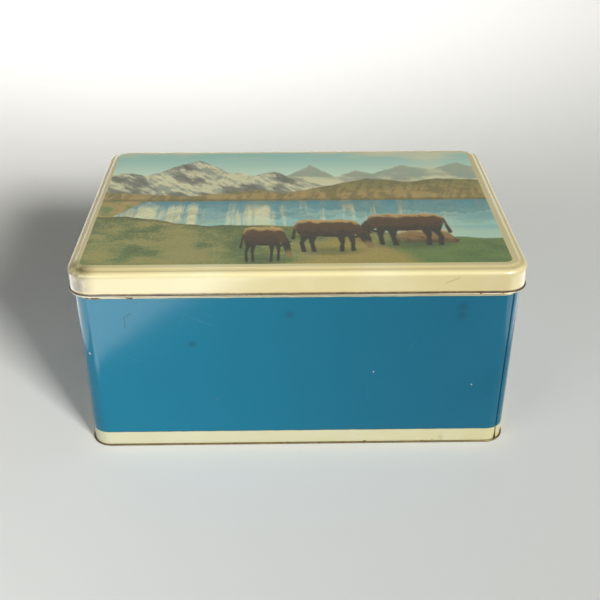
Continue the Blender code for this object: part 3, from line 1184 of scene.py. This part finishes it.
# Camera, in wall widths from the middle of the tin's foot
CAMERA_PLACE = Vector((-0.0257, -2.0849, 1.4786))
CAMERA_LENS = 55.6  # millimetres
CAMERA_DOWN, CAMERA_ASIDE = 31.44, 0.96  # degrees below level, and to the right


def paper():
    material, point = new_material("studio_paper")
    cloud = fractal(point, 3, detail=4)
    x, y, _ = split(point)
    # painted light across the paper
    near = mix((x + cloud * 0.2).step(-0.5, 0.5), PAPER_LIT_LEFT, PAPER_SHADED_RIGHT)
    near = mix(y.step(0.0, -0.3) * 0.8, near, PAPER_SHADED_FRONT)
    colour = mix((y + cloud * 0.1).step(0.2, 0.8), near, PAPER_LIT_BACK)
    fibres = fractal(point, 600, detail=2)
    return finish_surface(material, colour, 0.75 + 0.1 * cloud, fibres, 0.05 * MM)


def add_floor():
    """A round sheet of paper, flat under the tin and sweeping up gently all round."""
    profile = [(FLOOR_FLAT * step / 4, 0) for step in range(4)]
    turns = [radians(FLOOR_STEEPEST * step / 30) for step in range(31)]
    profile += [(FLOOR_FLAT + FLOOR_SWEEP * sin(turn), FLOOR_SWEEP * (1 - cos(turn))) for turn in turns]
    mesh = flat_blank(FLOOR_SIDES, len(profile) - 1, uncut)
    for point in mesh.verts:
        reach, height = profile[round(point.co.y)]
        angle = 2 * pi * point.co.x / FLOOR_SIDES
        point.co = reach * cos(angle), reach * sin(angle), height
    bmesh.ops.remove_doubles(mesh, verts=mesh.verts, dist=MM)
    bmesh.ops.recalc_face_normals(mesh, faces=mesh.faces)
    floor = add_mesh("paper_floor", mesh, [paper()])


def direction(heading, height_angle):
    """Unit vector towards a heading (0 for +X, 90 for +Y) and an angle above the horizon."""
    turn, lift = radians(heading), radians(height_angle)
    return Vector((cos(turn) * cos(lift), sin(turn) * cos(lift), sin(lift)))


def add_light(name, towards, distance, size, power, colour, centre=(0, 0, 0.06)):
    """A soft rectangular lamp that stands in a direction from the centre and faces it."""
    lamp = bpy.data.lights.new(name, "AREA")
    lamp.shape = "RECTANGLE"
    lamp.size, lamp.size_y = size
    lamp.energy = power
    lamp.color = colour
    light = add_object(name, lamp)
    light.location = Vector(centre) + towards * distance
    light.rotation_euler = towards.to_track_quat("Z", "Y").to_euler()
    light.visible_camera = False
    return light


def add_floor_card(name, place, size, heading, power):
    """A bright card that lies face up on the floor. It shows only in the glossy paint."""
    card = add_light(name, Vector((0, 0, -1)), 0, size, power, (1, 1, 1), centre=(*place, 2 * MM))
    card.rotation_euler = (pi, 0, radians(heading))
    card.visible_diffuse = False


def light_scene():
    """Distances and sizes in metres, power in watts."""
    warm, cool, white = (1.0, 0.985, 0.95), (0.98, 0.99, 1.0), (1, 1, 1)
    add_light("key", direction(-55, 28.5), 4.6, (1.1, 0.9), 238, warm)
    add_light("fill", direction(-128, 22), 0.65, (0.4, 0.3), 1.15, cool)
    backdrop = add_light("backdrop", direction(-90, 38), 1.3, (0.9, 0.3), 3.1, white, (-0.2, 1.2, 0.2))
    backdrop.data.spread = radians(90)
    add_light("back_card", direction(90, 31), 2.3, (2.6, 0.9), 2.2, (1.0, 0.97, 0.72))
    add_floor_card("card_front", (-0.12, -0.487), (0.60, 0.30), -50.7, 1.8)
    add_floor_card("card_left", (-0.36, -0.11), (0.20, 0.34), 0, 0.42)
    add_floor_card("card_right", (0.36, -0.11), (0.20, 0.34), 0, 0.32)


def add_world():
    world = bpy.data.worlds.new("studio")
    world.use_nodes = True
    background = world.node_tree.nodes["Background"]
    background.inputs["Color"].default_value = WORLD_COLOUR
    background.inputs["Strength"].default_value = WORLD_STRENGTH
    bpy.context.scene.world = world
    bpy.context.scene.view_settings.view_transform = "Standard"


def add_camera():
    """In front of the tin and above it, looking down at it."""
    data = bpy.data.cameras.new("camera")
    data.lens = CAMERA_LENS
    camera = add_object("camera", data)
    camera.location = CAMERA_PLACE * (2 * HALF_WIDTH)
    camera.rotation_euler = (pi / 2 - radians(CAMERA_DOWN), 0, -radians(CAMERA_ASIDE))
    bpy.context.scene.camera = camera


def build_tin():
    paint = body_paint()
    inside = tinplate("tinplate_inside", TIN_BARE, TIN_STAINED, rust_level=0.72)
    lacquer = tinplate("base_lacquer", LACQUER, LACQUER_STAINED, rust_level=0.66)
    front, back = wall_mesh(seed=2.3), wall_mesh(seed=6.1, half_turn=True)
    add_piece("enamelled_wall_front", front, "box", [paint, inside], ["wall_front"])
    add_piece("enamelled_wall_back", back, "box", [paint, inside], ["wall_back"])
    add_piece("folded_base", base_mesh(), "box", [lacquer, inside], ["base_panel"])
    add_piece("pressed_lid", lid_mesh(), "lid", [lid_paint(), inside], ["lid"])
    picture = [picture_print()]
    add_piece("printed_picture", print_mesh(), "lid", picture, thickness=PRINT_THICKNESS)


add_camera()
build_tin()
add_floor()
light_scene()
add_world()
